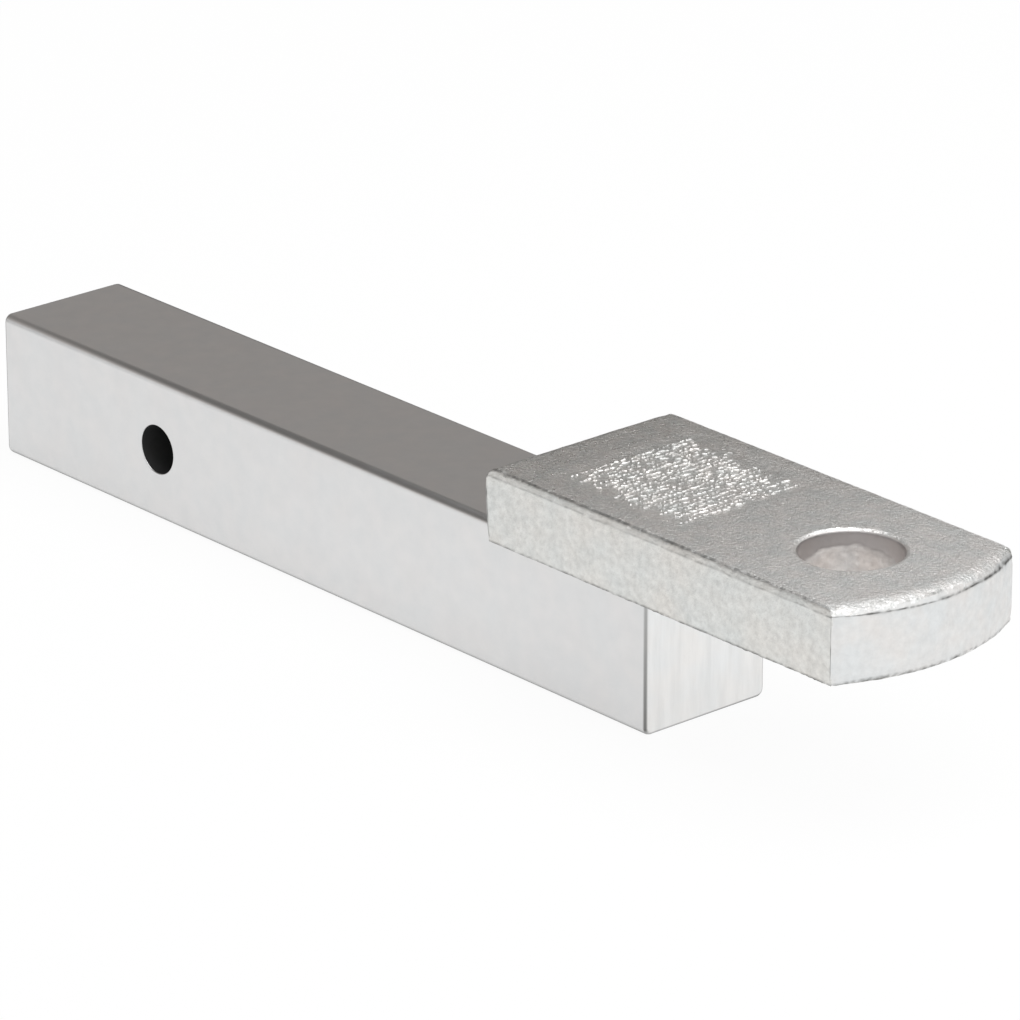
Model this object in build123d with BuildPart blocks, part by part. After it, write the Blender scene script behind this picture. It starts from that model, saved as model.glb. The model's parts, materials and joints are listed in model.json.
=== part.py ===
from build123d import *
import math
import os

# Straight ball mount of solid steel: a square receiver shank, a thick tongue plate that lies on the
# shank's front end and reaches out past it, and the fillet welds that join the two.
#
# Frame: millimetres, +X from the shank towards the ball, +Y across, +Z up.
# The origin is the centre of the hitch pin hole, on the shank's own axis.

# Shank: square bar with rolled corners, its two ends cut square
shank_side = 50.8
shank_length = 327.0
shank_corner_radius = 2.8
shank_end_break = 0.4

# Cross hole for the hitch pin
pin_hole_diameter = 17.0
pin_hole_setback = 83.5
pin_hole_edge_break = 0.4

# Tongue plate: flat bar, its top edges worn round by forging, its rear end rolled over by the
# shear that cropped it, and its nose sheared to an arc
plate_width = 76.2
plate_thickness = 25.4
plate_length = 166.8
plate_overlap = 61.3
plate_rear_roll = 4.5
plate_top_edge_radius = 2.0
plate_bottom_edge_radius = 0.8
nose_radius = 76.2

# Ball hole: punched from above, so a rounded rim, a smooth land and a rough flare below it
ball_hole_diameter = 33.3
ball_hole_setback = 41.3
ball_hole_rim_radius = 1.5
ball_hole_land_depth = 7.3
ball_hole_flare = 0.9

# Fillet welds
weld_leg = 6.5
weld_crown = 0.9
weld_ripple_pitch = 3.1
weld_ripple_bevel = 0.55
weld_end_shrink = 0.75
weld_end_clearance = 3.0
weld_root_reach = 0.6

# Places worked out from the sizes above
shank_rear_x = -pin_hole_setback
shank_front_x = shank_rear_x + shank_length
shank_half = shank_side / 2
plate_rear_x = shank_front_x - plate_overlap
nose_tip_x = plate_rear_x + plate_length
plate_half = plate_width / 2
nose_sagitta = nose_radius - math.sqrt(nose_radius**2 - plate_half**2)
nose_corner_x = nose_tip_x - nose_sagitta
plate_bottom_z = shank_half
plate_top_z = plate_bottom_z + plate_thickness
ball_hole_x = nose_tip_x - ball_hole_setback


# The shank is drawn end on, run to its length, and drilled through for the pin.
with BuildPart() as shank:
    with BuildSketch(Plane.YZ.offset(shank_rear_x)):
        RectangleRounded(shank_side, shank_side, shank_corner_radius)
    extrude(amount=shank_length)
    end_faces = shank.faces().filter_by(Axis.X)
    chamfer(end_faces.edges(), shank_end_break)
    with BuildSketch(Plane.XZ):
        Circle(pin_hole_diameter / 2)
    extrude(amount=shank_side, both=True, mode=Mode.SUBTRACT)
    pin_hole_rims = shank.edges(Select.LAST).filter_by(GeomType.CIRCLE)
    chamfer(pin_hole_rims, pin_hole_edge_break)
shank.part.label = "shank"


# The plate's outline is straight along the sides and the rear, and an arc at the nose.
with BuildPart() as tongue_plate:
    with BuildSketch(Plane.XY.offset(plate_bottom_z)):
        with BuildLine():
            Polyline(
                (nose_corner_x, plate_half),
                (plate_rear_x, plate_half),
                (plate_rear_x, -plate_half),
                (nose_corner_x, -plate_half),
            )
            ThreePointArc((nose_corner_x, -plate_half), (nose_tip_x, 0), (nose_corner_x, plate_half))
        make_face()
    extrude(amount=plate_thickness)
    rear_top_edge = tongue_plate.faces().sort_by(Axis.Z)[-1].edges().sort_by(Axis.X)[0]
    fillet(rear_top_edge, plate_rear_roll)
    side_and_nose_edges = tongue_plate.faces().sort_by(Axis.Z)[-1].edges().sort_by(Axis.X)[1:]
    fillet(side_and_nose_edges, plate_top_edge_radius)
    fillet(tongue_plate.faces().sort_by(Axis.Z)[0].edges(), plate_bottom_edge_radius)
    with Locations((ball_hole_x, 0, plate_top_z)):
        Hole(ball_hole_diameter / 2)
    ball_hole_rim = tongue_plate.edges(Select.LAST).filter_by(GeomType.CIRCLE).sort_by(Axis.Z)[-1]
    fillet(ball_hole_rim, ball_hole_rim_radius)
    with Locations((ball_hole_x, 0, plate_bottom_z)):
        Cone(
            ball_hole_diameter / 2 + ball_hole_flare,
            ball_hole_diameter / 2,
            plate_thickness - ball_hole_land_depth,
            align=(Align.CENTER, Align.CENTER, Align.MIN),
            mode=Mode.SUBTRACT,
        )
tongue_plate.part.label = "tongue_plate"


# Welds. Each is a row of ripples along the inner corner that its joint plane stands in: the
# plane's x and y run out along the two joined faces, and its z along the weld.
side_weld_length = plate_overlap - plate_top_edge_radius - 2 * weld_end_clearance
cross_weld_length = shank_side - 2 * shank_corner_radius - 2 * weld_end_clearance
side_joint = Plane(
    origin=(shank_front_x - weld_end_clearance, shank_half, plate_bottom_z),
    x_dir=(0, 1, 0),
    z_dir=(-1, 0, 0),
)
front_joint = Plane(
    origin=(shank_front_x, -cross_weld_length / 2, plate_bottom_z),
    x_dir=(1, 0, 0),
    z_dir=(0, 1, 0),
)
rear_joint = Plane(
    origin=(plate_rear_x, -cross_weld_length / 2, plate_bottom_z),
    x_dir=(-1, 0, 0),
    z_dir=(0, 1, 0),
)


def weld_ripple(leg, rounded_edge):
    """One ripple: a coin of weld metal with a crowned face and bevelled rims.

    It stands on the XY plane with the joint's inner corner at the origin, and runs in a
    little way under the rounded edge that it closes.
    """
    root = weld_root_reach * rounded_edge
    with BuildPart() as ripple:
        with BuildSketch():
            with BuildLine():
                Polyline((0, leg), (-root, leg), (-root, 0), (leg, 0))
                SagittaArc((leg, 0), (0, leg), -weld_crown)
            make_face()
        extrude(amount=weld_ripple_pitch)
        rims = ripple.edges().filter_by(GeomType.CIRCLE)
        chamfer(rims, weld_ripple_bevel)
    return ripple.part


def weld_ripples(joint, length, rounded_edge):
    """A row of ripples along the joint's z, evenly spread over the length, smaller at both ends."""
    ripple = weld_ripple(weld_leg, rounded_edge)
    end_ripple = weld_ripple(weld_leg * weld_end_shrink, rounded_edge)
    count = max(3, round(length / weld_ripple_pitch))
    first = (length - count * weld_ripple_pitch) / 2
    places = [joint.offset(first + index * weld_ripple_pitch).location for index in range(count)]
    row = [ripple.moved(place) for place in places[1:-1]]
    ends = [end_ripple.moved(place) for place in (places[0], places[-1])]
    return row + ends


# Under the plate's overhang, along the shank's left side, and the same on the right.
side_ripples = weld_ripples(side_joint, side_weld_length, shank_corner_radius)
with BuildPart() as weld_left:
    add(side_ripples)
    add(shank.part, mode=Mode.SUBTRACT)
weld_left.part.label = "weld_left"

with BuildPart() as weld_right:
    mirror(weld_left.part, about=Plane.XZ)
weld_right.part.label = "weld_right"

# Under the plate, across the shank's front end.
front_ripples = weld_ripples(front_joint, cross_weld_length, shank_end_break)
with BuildPart() as weld_front:
    add(front_ripples)
    add(shank.part, mode=Mode.SUBTRACT)
weld_front.part.label = "weld_front"

# On top of the shank, across the plate's rear end.
rear_ripples = weld_ripples(rear_joint, cross_weld_length, plate_bottom_edge_radius)
with BuildPart() as weld_rear:
    add(rear_ripples)
    add(tongue_plate.part, mode=Mode.SUBTRACT)
weld_rear.part.label = "weld_rear"


os.makedirs("parts", exist_ok=True)
for piece in (shank, tongue_plate, weld_left, weld_right, weld_front, weld_rear):
    export_step(piece.part, f"parts/{piece.part.label}.step")
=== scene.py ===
"""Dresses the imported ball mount: a square receiver shank, a forged tongue plate and four welds."""

import json
import logging
import math
import random
from collections.abc import Callable, Iterator
from contextlib import contextmanager
from dataclasses import dataclass, field
from enum import Enum

import bmesh
import bpy
from mathutils import Matrix, Vector, noise

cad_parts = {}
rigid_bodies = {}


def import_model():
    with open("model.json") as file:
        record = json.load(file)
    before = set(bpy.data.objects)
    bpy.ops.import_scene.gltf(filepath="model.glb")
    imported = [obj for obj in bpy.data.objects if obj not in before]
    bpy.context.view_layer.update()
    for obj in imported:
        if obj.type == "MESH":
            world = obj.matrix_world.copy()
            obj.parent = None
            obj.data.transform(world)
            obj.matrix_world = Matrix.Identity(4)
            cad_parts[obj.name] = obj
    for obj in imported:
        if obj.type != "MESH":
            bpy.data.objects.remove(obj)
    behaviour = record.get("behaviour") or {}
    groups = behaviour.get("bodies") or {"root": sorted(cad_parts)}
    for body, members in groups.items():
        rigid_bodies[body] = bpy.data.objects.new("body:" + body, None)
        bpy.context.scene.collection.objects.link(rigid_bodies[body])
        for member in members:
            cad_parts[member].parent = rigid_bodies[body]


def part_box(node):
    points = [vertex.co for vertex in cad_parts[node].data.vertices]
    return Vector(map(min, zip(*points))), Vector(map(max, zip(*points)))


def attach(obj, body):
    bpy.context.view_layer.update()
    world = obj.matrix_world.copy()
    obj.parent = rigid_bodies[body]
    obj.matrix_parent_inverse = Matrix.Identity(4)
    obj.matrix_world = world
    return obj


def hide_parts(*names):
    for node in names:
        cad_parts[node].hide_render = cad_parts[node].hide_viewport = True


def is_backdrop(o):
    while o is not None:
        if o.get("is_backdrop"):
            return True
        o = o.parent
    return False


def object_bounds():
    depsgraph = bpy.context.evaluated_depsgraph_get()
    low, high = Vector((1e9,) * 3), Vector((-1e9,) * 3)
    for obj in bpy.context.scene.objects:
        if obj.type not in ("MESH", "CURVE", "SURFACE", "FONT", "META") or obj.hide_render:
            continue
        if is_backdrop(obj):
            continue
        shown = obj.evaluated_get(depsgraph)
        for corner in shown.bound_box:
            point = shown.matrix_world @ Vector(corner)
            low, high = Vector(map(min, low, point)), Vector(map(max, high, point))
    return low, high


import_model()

log = logging.getLogger("ball_mount")

Color = tuple[float, float, float]
Place = tuple[float, float, float]
Span = tuple[float, float]
Bands = tuple[tuple[float, Color], ...]
Socket = bpy.types.NodeSocket
Test = Callable[[Vector, Vector], bool]
Measure = Callable[[Vector, Vector], float]

MM = 0.001
HAIR = 0.01 * MM  # Two places this near to each other count as one.
BODY = "root"
# The attribute that carries the painted shade: thin dark lines at the edges that stand in for shade
# and dark reflections.
PAINTED_SHADE = "wear_and_painted_shade"


class MeshPart(Enum):
    """The kinds of mesh element that can be picked in edit mode."""

    VERTEX = "verts"
    EDGE = "edges"
    FACE = "faces"


class Cloud(Enum):
    """The kinds of noise that roughen a skin."""

    SOFT = "SOFT_NOISE"
    HARD = "HARD_NOISE"


def stand_alone(piece: bpy.types.Object) -> None:
    """Selects the piece alone and makes it active.

    Args:
        piece: The piece.
    """
    clear_selection()
    piece.select_set(True)
    bpy.context.view_layer.objects.active = piece


def clear_selection() -> None:
    """Deselects every object."""
    for other in bpy.context.view_layer.objects:
        other.select_set(False)


def named_piece(name: str) -> bpy.types.Object:
    """Names the primitive that was just added and settles its place into its mesh.

    Args:
        name: The piece's name.

    Returns:
        The piece, at the origin and unscaled.
    """
    piece = bpy.context.active_object
    piece.name = name
    piece.data.name = name
    stand_alone(piece)
    bpy.ops.object.transform_apply(location=True, rotation=True, scale=True)
    return piece


def add_block(name: str, low: Vector, high: Vector) -> bpy.types.Object:
    """Adds a block between two corners.

    Args:
        name: The piece's name.
        low: Its lowest corner.
        high: Its highest corner.

    Returns:
        The block.
    """
    clear_selection()
    bpy.ops.mesh.primitive_cube_add(size=1, location=(low + high) / 2)
    bpy.context.active_object.scale = high - low
    return named_piece(name)


@contextmanager
def editing(piece: bpy.types.Object) -> Iterator[None]:
    """Opens a piece in edit mode with nothing selected, and closes it again.

    Args:
        piece: The mesh to edit.
    """
    stand_alone(piece)
    bpy.ops.object.mode_set(mode="EDIT")
    bpy.ops.mesh.select_all(action="DESELECT")
    try:
        yield
    finally:
        bpy.ops.object.mode_set(mode="OBJECT")


def pick(piece: bpy.types.Object, part: MeshPart, test: Test) -> int:
    """Selects the elements of the piece in edit mode that pass a test.

    Args:
        piece: The piece that is being edited.
        part: The kind of element to pick.
        test: Says yes or no to an element's middle and its direction, which is an edge's
            run, or the normal of a face or vertex.

    Returns:
        How many were picked.
    """
    bpy.context.tool_settings.mesh_select_mode = (
        part is MeshPart.VERTEX,
        part is MeshPart.EDGE,
        part is MeshPart.FACE,
    )
    mesh = bmesh.from_edit_mesh(piece.data)
    mesh.normal_update()
    count = 0
    for element in getattr(mesh, part.value):
        if part is MeshPart.VERTEX:
            middle, direction = element.co, element.normal
        elif part is MeshPart.EDGE:
            start, end = (vertex.co for vertex in element.verts)
            middle, direction = (start + end) / 2, (end - start).normalized()
        else:
            middle, direction = element.calc_center_median(), element.normal
        chosen = test(middle, direction)
        element.select_set(chosen)
        count += chosen
    mesh.select_flush_mode()
    bmesh.update_edit_mesh(piece.data)
    return count


def bevel_edges(piece: bpy.types.Object, width: float, steps: int, test: Test) -> None:
    """Rounds the edges that pass a test.

    Args:
        piece: The piece that is being edited.
        width: The radius.
        steps: How many segments the round has.
        test: Says which edges, by middle and run.
    """
    bpy.ops.mesh.select_all(action="DESELECT")
    pick(piece, MeshPart.EDGE, test)
    bpy.ops.mesh.bevel(offset=width, segments=steps, profile=0.5, affect="EDGES")
    bpy.ops.mesh.select_all(action="DESELECT")


def cut(point: Place, normal: Place, clear_above: bool = True, fill: bool = True) -> None:
    """Cuts the whole mesh that is being edited by a plane.

    Args:
        point: A point of the plane.
        normal: Its normal.
        clear_above: Drops what lies on the normal's side.
        fill: Closes the cut.
    """
    bpy.ops.mesh.select_all(action="SELECT")
    bpy.ops.mesh.bisect(
        plane_co=point, plane_no=normal, use_fill=fill, clear_outer=clear_above
    )
    bpy.ops.mesh.select_all(action="DESELECT")


def apply_modifier(piece: bpy.types.Object, kind: str, **settings: object) -> None:
    """Adds a modifier to a piece and applies it.

    Args:
        piece: The piece.
        kind: The modifier's type.
        settings: Its settings by name.
    """
    stand_alone(piece)
    modifier = piece.modifiers.new(kind.lower(), kind)
    for key, value in settings.items():
        setattr(modifier, key, value)
    bpy.ops.object.modifier_apply(modifier=modifier.name)


def carve(piece: bpy.types.Object, tool: bpy.types.Object) -> None:
    """Takes a tool's shape out of a piece and drops the tool.

    Args:
        piece: The piece to cut.
        tool: A closed mesh.
    """
    apply_modifier(piece, "BOOLEAN", operation="DIFFERENCE", solver="EXACT", object=tool)
    bpy.data.objects.remove(tool)


def lathe(
    name: str, axis_at: Vector, profile: list[tuple[float, float]], sides: int
) -> bpy.types.Object:
    """Turns a closed solid round a vertical axis, from a ring that is drawn out and resized.

    Args:
        name: The piece's name.
        axis_at: A point of the axis; its z is the zero of the profile's heights.
        profile: The radius and height of each ring, from one end to the other.
        sides: How many corners a ring has.

    Returns:
        The solid.
    """
    first_radius, first_height = profile[0]
    clear_selection()
    bpy.ops.mesh.primitive_circle_add(
        vertices=sides,
        radius=first_radius,
        fill_type="NGON",
        location=axis_at + Vector((0, 0, first_height)),
    )
    piece = named_piece(name)
    with editing(piece):
        bpy.ops.mesh.select_all(action="SELECT")
        for (radius, height), (next_radius, next_height) in zip(profile, profile[1:]):
            bpy.ops.mesh.extrude_region_move(
                TRANSFORM_OT_translate={"value": (0, 0, next_height - height)}
            )
            share = next_radius / radius
            bpy.ops.transform.resize(
                value=(share, share, 1),
                center_override=(axis_at.x, axis_at.y, axis_at.z + next_height),
            )
        bpy.ops.mesh.select_all(action="SELECT")
        bpy.ops.mesh.normals_make_consistent(inside=False)
    return piece


def weigh(piece: bpy.types.Object, group: str, weight: Measure) -> None:
    """Gives each vertex of a piece its weight in a group.

    Args:
        piece: The piece.
        group: The group's name.
        weight: Gives the weight from a vertex's place and normal.
    """
    vertex_group = piece.vertex_groups.new(name=group)
    for vertex in piece.data.vertices:
        amount = weight(vertex.co, vertex.normal)
        if amount > 0.001:
            vertex_group.add([vertex.index], min(1.0, amount), "REPLACE")


def roughen(
    piece: bpy.types.Object,
    group: str,
    grain: float,
    depth: float,
    cloud: Cloud = Cloud.SOFT,
    layers: int = 2,
) -> None:
    """Sinks a skin by cloudy noise, and never lifts it.

    Args:
        piece: The piece.
        group: The vertex group that it acts on.
        grain: The size of the noise.
        depth: How deep the lowest places go.
        cloud: The kind of noise.
        layers: How many finer layers the noise has.
    """
    texture = bpy.data.textures.new(f"{piece.name}_{group}", type="CLOUDS")
    texture.noise_scale = grain
    texture.noise_depth = layers
    texture.noise_type = cloud.value
    apply_modifier(
        piece,
        "DISPLACE",
        texture=texture,
        strength=depth,
        mid_level=1.0,
        texture_coords="LOCAL",
        vertex_group=group,
    )


def smooth_faces(piece: bpy.types.Object, degrees: float) -> None:
    """Shades a piece smooth, except at edges sharper than an angle.

    Args:
        piece: The piece.
        degrees: The angle.
    """
    stand_alone(piece)
    bpy.ops.object.shade_smooth_by_angle(angle=math.radians(degrees))


def paint_faces(piece: bpy.types.Object, index: int, test: Test) -> None:
    """Gives the faces that pass a test one of the piece's materials.

    Args:
        piece: The piece.
        index: The material's slot.
        test: Says which faces, by middle and normal.
    """
    for face in piece.data.polygons:
        if test(face.center, face.normal):
            face.material_index = index


def store_painted_shade(piece: bpy.types.Object, painted_shade: Measure) -> None:
    """Stores on each vertex how much painted shade it gets, for the finishes to read: thin dark
    lines that stand in for the shade and the dark reflections at the edges.

    Args:
        piece: The piece.
        painted_shade: Gives the share of painted shade from a vertex's place and normal.
    """
    shares = [max(0.0, min(1.0, painted_shade(v.co, v.normal))) for v in piece.data.vertices]
    layer = piece.data.attributes.new(PAINTED_SHADE, "FLOAT", "POINT")
    layer.data.foreach_set("value", shares)


def patchiness(place: Vector, fine: float, coarse: float) -> float:
    """How strongly the painted shade lies at a place, in fine patches on coarse ones.

    Args:
        place: The place.
        fine: The rate of the fine patches, per metre.
        coarse: The rate of the coarse ones.

    Returns:
        The strength, 0.85 on the mean.
    """
    return 0.85 + 0.9 * noise.noise(place * fine) + 0.5 * noise.noise(place * coarse)


class NodeBoard:
    """The node tree of one material or world, and short ways to fill it."""

    def __init__(self, tree: bpy.types.NodeTree) -> None:
        """Starts an empty tree."""
        self.tree = tree
        self.tree.nodes.clear()

    def add(self, kind: str, **settings: object) -> bpy.types.Node:
        """Adds a node.

        Args:
            kind: The node's type, without its common prefix.
            settings: Its settings by name.

        Returns:
            The node.
        """
        node = self.tree.nodes.new(f"ShaderNode{kind}")
        for key, value in settings.items():
            setattr(node, key, value)
        return node

    def join(self, source: Socket, target: Socket) -> None:
        """Links an output to an input."""
        self.tree.links.new(source, target)

    def noise(self, where: Socket, size: float, layers: float, rough: float) -> Socket:
        """Adds noise.

        Args:
            where: The coordinates.
            size: The size of its largest spots, in metres.
            layers: Its detail.
            rough: How strong the detail is.

        Returns:
            Its value.
        """
        node = self.add("TexNoise")
        self.join(where, node.inputs["Vector"])
        node.inputs["Scale"].default_value = 1 / size
        node.inputs["Detail"].default_value = layers
        node.inputs["Roughness"].default_value = rough
        return node.outputs[0]

    def spread(self, value: Socket, source: Span, target: Span) -> Socket:
        """Maps one range of a value to another.

        Args:
            value: The value.
            source: The range that it has.
            target: The range that it gets.

        Returns:
            The mapped value, held inside its range.
        """
        node = self.add("MapRange")
        self.join(value, node.inputs[0])
        for socket, number in zip(node.inputs[1:5], (*source, *target)):
            socket.default_value = number
        return node.outputs[0]

    def blend(
        self,
        share: Socket | float,
        first: Socket | Color,
        second: Socket | Color,
        mode: str = "MIX",
    ) -> Socket:
        """Mixes two colours.

        Args:
            share: The share of the second, or an output that gives it.
            first: A colour, or an output that gives one.
            second: A colour, or an output that gives one.
            mode: How they mix.

        Returns:
            The mixed colour.
        """
        node = self.add("Mix", data_type="RGBA", blend_type=mode)
        if isinstance(share, Socket):
            self.join(share, node.inputs[0])
        else:
            node.inputs[0].default_value = share
        for socket, value in ((node.inputs[6], first), (node.inputs[7], second)):
            if isinstance(value, Socket):
                self.join(value, socket)
            else:
                socket.default_value = (*value, 1)
        return node.outputs[2]

    def stretch(self, where: Socket, scale: Place) -> Socket:
        """Scales coordinates, which draws a pattern out along an axis with a small scale.

        Args:
            where: The coordinates.
            scale: Their scale along each axis.

        Returns:
            The scaled coordinates.
        """
        node = self.add("Mapping")
        node.inputs["Scale"].default_value = scale
        self.join(where, node.inputs["Vector"])
        return node.outputs[0]

    def math(self, operation: str, first: Socket, second: Socket | float) -> Socket:
        """Works out one number from two.

        Args:
            operation: The node's operation.
            first: The first number.
            second: The second number, or an output that gives it.

        Returns:
            The result.
        """
        node = self.add("Math", operation=operation)
        self.join(first, node.inputs[0])
        if isinstance(second, Socket):
            self.join(second, node.inputs[1])
        else:
            node.inputs[1].default_value = second
        return node.outputs[0]


@dataclass(frozen=True)
class ZincFinish:
    """Zinc plate over steel: its tone, its cloudy patches and the skin of the steel below.

    Sizes are in metres. The grain may be drawn out along an axis, and the metal may grow rougher
    along X, where it has a coarser skin, and paler there: painted light that stands in for the light
    falling on it.
    """

    name: str
    color: Color
    roughness: float
    metallic: float = 1.0
    patch_size: float = 0.006
    patch_stretch: Place = (1.0, 1.0, 1.0)
    patch_depth: float = 0.06
    patch_rough: float = 0.05
    tint_size: float = 0.012
    warm: Color = (1.02, 1.0, 0.985)
    cool: Color = (0.98, 1.0, 1.01)
    grain_size: float = 0.0006
    grain_height: float = 0.00002
    grain_stretch: Place = (1.0, 1.0, 1.0)
    # The change along X: a rougher skin, and a paler colour that is painted light.
    fade_from: float = 0.0
    fade_to: float = 0.0
    painted_light_color: Color = (0.8, 0.8, 0.8)
    fade_roughness: float = 0.5
    # Painted shade: the colour that the stored share darkens towards, and the roughness there.
    painted_shade_color: Color = (0.1, 0.1, 0.095)
    shade_mark_roughness: float = 0.5

    def material(self) -> bpy.types.Material:
        """Makes the material.

        Returns:
            A new material with the finish's nodes.
        """
        made = bpy.data.materials.new(self.name)
        made.use_nodes = True
        board = NodeBoard(made.node_tree)
        shader = board.add("BsdfPrincipled")
        output = board.add("OutputMaterial")
        board.join(shader.outputs[0], output.inputs[0])
        shader.inputs["Metallic"].default_value = self.metallic
        where = board.add("TexCoord").outputs["Object"]
        # The stored share paints shade: it darkens the colour towards the painted shade colour, and
        # changes the roughness.
        wear_and_painted_shade = board.add("Attribute", attribute_name=PAINTED_SHADE).outputs["Fac"]
        color, rough = self.zinc(board, where)
        board.join(board.blend(wear_and_painted_shade, color, self.painted_shade_color), shader.inputs["Base Color"])
        change = board.math("SUBTRACT", rough, self.shade_mark_roughness)
        rough = board.math("SUBTRACT", rough, board.math("MULTIPLY", change, wear_and_painted_shade))
        board.join(rough, shader.inputs["Roughness"])
        board.join(self.grain(board, where, wear_and_painted_shade), shader.inputs["Normal"])
        return made

    def zinc(self, board: NodeBoard, where: Socket) -> tuple[Socket, Socket]:
        """Adds the bare zinc: cloudy patches, warm and cool tints, and the change along X, whose
        paler colour is painted light.

        Args:
            board: The material's board.
            where: The object's coordinates.

        Returns:
            The colour and the roughness.
        """
        drawn = board.stretch(where, self.patch_stretch)
        patches = board.spread(board.noise(drawn, self.patch_size, 5, 0.6), (0.3, 0.7), (0, 1))
        tint = board.spread(board.noise(where, self.tint_size, 3, 0.5), (0.35, 0.65), (0, 1))
        color = self.patchy(board, patches, self.color)
        rough = board.spread(
            patches,
            (0, 1),
            (self.roughness + self.patch_rough, self.roughness - self.patch_rough),
        )
        # Paler along X as painted light, and rougher as the skin is.
        if self.fade_to > self.fade_from:
            along = board.add("SeparateXYZ")
            board.join(where, along.inputs[0])
            share = board.spread(along.outputs[0], (self.fade_from, self.fade_to), (0, 1))
            color = board.blend(share, color, self.patchy(board, patches, self.painted_light_color))
            extra = self.fade_roughness - self.roughness
            rough = board.math("ADD", rough, board.math("MULTIPLY", share, extra))
        hue = board.blend(tint, self.cool, self.warm)
        return board.blend(1.0, color, hue, "MULTIPLY"), rough

    def patchy(self, board: NodeBoard, patches: Socket, color: Color) -> Socket:
        """Varies a colour over the patches.

        Args:
            board: The material's board.
            patches: The patches, from 0 to 1.
            color: The colour half-way between the darkest and the palest.

        Returns:
            The varied colour.
        """
        dark = tuple(part * (1 - self.patch_depth) for part in color)
        pale = tuple(min(1.0, part * (1 + self.patch_depth)) for part in color)
        return board.blend(patches, dark, pale)

    def grain(self, board: NodeBoard, where: Socket, wear_and_painted_shade: Socket) -> Socket:
        """Adds the fine bumps of the steel's skin, which are smoothed away where the painted shade
        lies.

        Args:
            board: The material's board.
            where: The object's coordinates.
            wear_and_painted_shade: The share of painted shade.

        Returns:
            The normal.
        """
        turned = board.stretch(where, self.grain_stretch)
        bump = board.add("Bump")
        bump.inputs["Distance"].default_value = self.grain_height
        board.join(board.noise(turned, self.grain_size, 4, 0.6), bump.inputs["Height"])
        board.join(board.spread(wear_and_painted_shade, (0, 1), (1, 0)), bump.inputs["Strength"])
        return bump.outputs[0]


DRAWN_ZINC = ZincFinish(
    "drawn_zinc",
    color=(0.73, 0.73, 0.73),
    roughness=0.32,
    patch_depth=0.018,
    patch_rough=0.02,
    warm=(1.008, 1.0, 0.996),
    cool=(0.994, 1.0, 1.002),
    grain_stretch=(0.08, 1.0, 1.0),
    grain_height=0.000006,
)
# The sawn ends' colour is paler than the drawn sides' as painted light, standing in for the brighter
# light on the ends; their saw grain and roughness are real.
SAWN_ZINC = ZincFinish(
    "sawn_zinc",
    color=(0.875, 0.875, 0.87),
    roughness=0.4,
    patch_size=0.003,
    patch_stretch=(1.0, 1.0, 0.12),
    patch_depth=0.05,
    warm=(1.01, 1.0, 0.99),
    cool=(0.99, 1.0, 1.005),
    grain_stretch=(1.0, 1.0, 0.04),
    grain_height=0.00003,
)
FORGED_ZINC = ZincFinish(
    "forged_zinc",
    color=(0.75, 0.735, 0.72),
    roughness=0.33,
    patch_size=0.0019,
    patch_depth=0.36,
    patch_rough=0.14,
    tint_size=0.007,
    warm=(1.05, 1.03, 1.02),
    cool=(0.955, 0.97, 0.97),
    grain_size=0.0011,
    grain_height=0.00045,
    # The top grows paler towards the nose as painted light, and rougher.
    fade_from=0.185,
    fade_to=0.33,
    painted_light_color=(0.95, 0.95, 0.93),
    fade_roughness=0.48,
)
SIDE_ZINC = ZincFinish(
    "side_zinc",
    color=(0.745, 0.745, 0.725),
    roughness=0.42,
    patch_size=0.0022,
    patch_depth=0.1,
    tint_size=0.02,
    grain_size=0.0008,
    grain_height=0.0003,
)
SHEARED_ZINC = ZincFinish(
    "sheared_zinc",
    color=(0.78, 0.78, 0.775),
    roughness=0.45,
    patch_size=0.0025,
    patch_depth=0.05,
    grain_size=0.001,
    grain_height=0.00008,
)
TORN_ZINC = ZincFinish(
    "torn_zinc",
    color=(0.82, 0.79, 0.77),
    roughness=0.6,
    patch_size=0.0025,
    patch_depth=0.1,
    grain_size=0.0009,
    grain_height=0.0001,
    # Painted dark reflection on the hole's smooth land, which is also truly smoother.
    painted_shade_color=(0.6, 0.58, 0.58),
    shade_mark_roughness=0.3,
)
WELD_ZINC = ZincFinish("weld_zinc", color=(0.66, 0.66, 0.65), roughness=0.45)
# The pin bore is near black: painted shade inside the hole.
PAINTED_SHADE_BORE = ZincFinish(
    "bore_painted_shade", color=(0.03, 0.03, 0.03), roughness=0.7, metallic=0.4
)


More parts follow.
